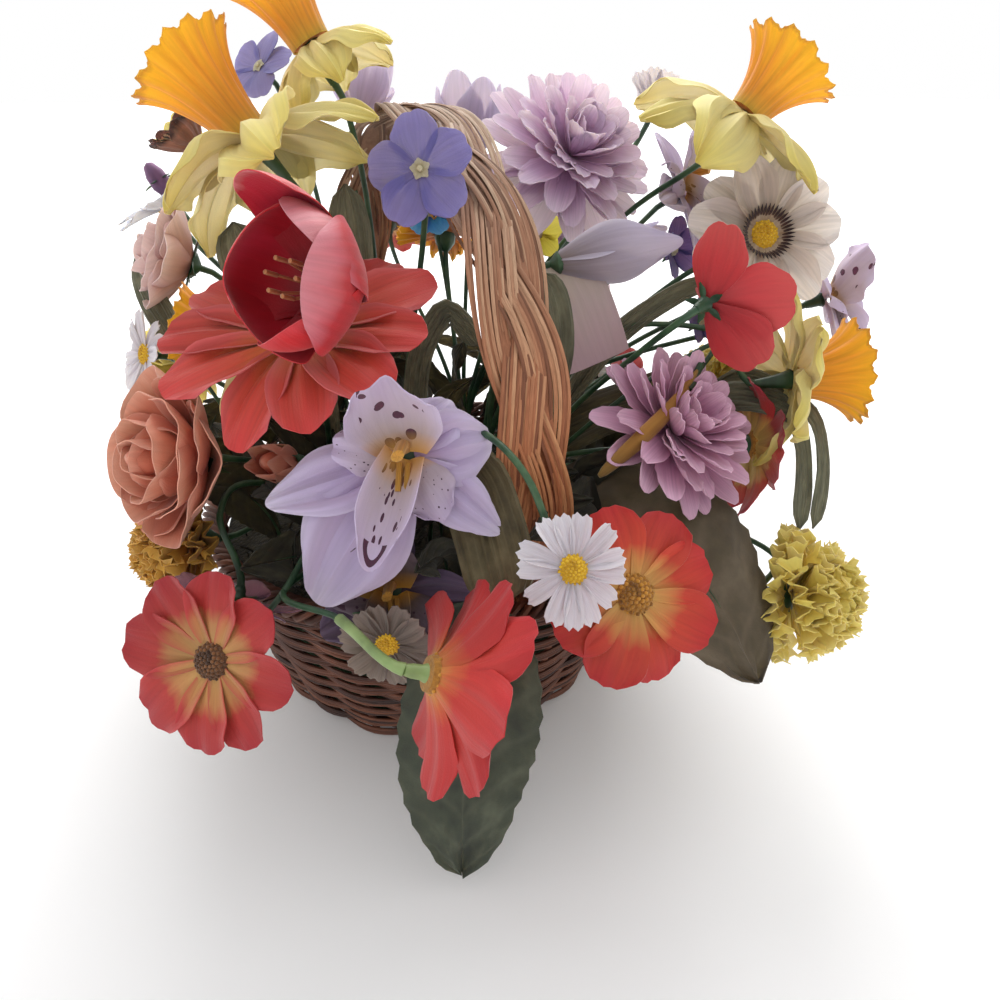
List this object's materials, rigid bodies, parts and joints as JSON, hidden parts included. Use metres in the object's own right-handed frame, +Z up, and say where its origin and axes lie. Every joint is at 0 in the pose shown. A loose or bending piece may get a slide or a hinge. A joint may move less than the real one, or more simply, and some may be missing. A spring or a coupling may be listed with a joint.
{
  "type": "artificial flower basket arrangement",
  "caption": "Mixed silk spring flowers and leaves on branching stems, held by foam in a round wicker basket with a tall plaited handle.",
  "frame": {"origin": "centre of the underside of the basket's flat base", "axes": "+Z up, Y in the plane of the arched handle, +X to the right when looking along +Y"},
  "size_m": [0.3712, 0.4029, 0.3522],
  "materials": {
    "wicker": "dark stained willow twigs, woven",
    "handle_strands": "thin tan strands, plaited flat",
    "foam": "dry green floral foam",
    "stem_green": "moulded green plastic over wire",
    "leaf_fabric": "pressed polyester leaf cloth, olive green",
    "daffodil_yellow": "pale yellow polyester petals, orange trumpet",
    "periwinkle_blue": "blue-violet polyester petals",
    "violet_dark": "dark violet polyester petals",
    "gazania_cream": "cream polyester petals, dark printed ring",
    "rose_peach": "peach polyester petals",
    "crimson": "crimson polyester petals",
    "tulip_pale": "white to lilac polyester petals",
    "orchid_lilac": "lilac polyester petals, dark printed spots",
    "daisy_white": "white polyester petals, yellow flocked centre",
    "orange_red": "orange-red polyester petals, yellow at the base",
    "carnation_yellow": "yellow polyester ruffles",
    "marigold_orange": "orange polyester ruffles",
    "mum_pink": "pink-lilac polyester petals"
  },
  "bodies": {
    "root": {"basket_base": "wicker", "basket_wall": "wicker", "basket_rim": "wicker", "handle": "handle_strands", "floral_foam": "foam", "spray_front": "stem_green", "spray_left": "stem_green", "spray_top_left": "stem_green", "spray_right": "stem_green", "spray_top_right": "stem_green", "spray_back_left": "stem_green", "spray_back_right": "stem_green", "daffodil_left": "daffodil_yellow", "daffodil_top": "daffodil_yellow", "periwinkle_back": "periwinkle_blue", "gazania_left": "gazania_cream", "rose_upper_left": "rose_peach", "periwinkle_front": "periwinkle_blue", "tulip_red": "crimson", "orchid_front": "orchid_lilac", "rosebud": "rose_peach", "orchid_low": "orchid_lilac", "daisy_low": "daisy_white", "gerbera_low": "orange_red", "daisy_front": "daisy_white", "zinnia_red": "orange_red", "daffodil_low_left": "daffodil_yellow", "rose_left": "rose_peach", "carnation_left": "carnation_yellow", "daisy_left": "daisy_white", "gerbera_left": "orange_red", "violet_low": "violet_dark", "gerbera_right": "orange_red", "mum_mauve": "mum_pink", "carnation_right": "carnation_yellow", "gaillardia": "orange_red", "daffodil_low_right": "daffodil_yellow", "anemone_red": "crimson", "mum_pink": "mum_pink", "tulip_white": "tulip_pale", "daffodil_right": "daffodil_yellow", "gazania_right": "gazania_cream", "orchid_upper": "orchid_lilac", "orchid_right": "orchid_lilac", "violet_right": "violet_dark", "tulip_lilac": "tulip_pale", "daisy_top": "daisy_white", "mum_back": "mum_pink", "rose_back": "rose_peach", "marigold_back": "marigold_orange", "gerbera_back": "orange_red", "carnation_back": "carnation_yellow", "leaf_hanging": "leaf_fabric", "leaf_broad_right": "leaf_fabric", "leaf_ribbed": "leaf_fabric", "leaf_dark": "leaf_fabric", "leaf_olive": "leaf_fabric", "leaf_strap_left": "leaf_fabric", "leaf_back_left": "leaf_fabric", "leaf_back_right": "leaf_fabric"}
  },
  "joints": []
}
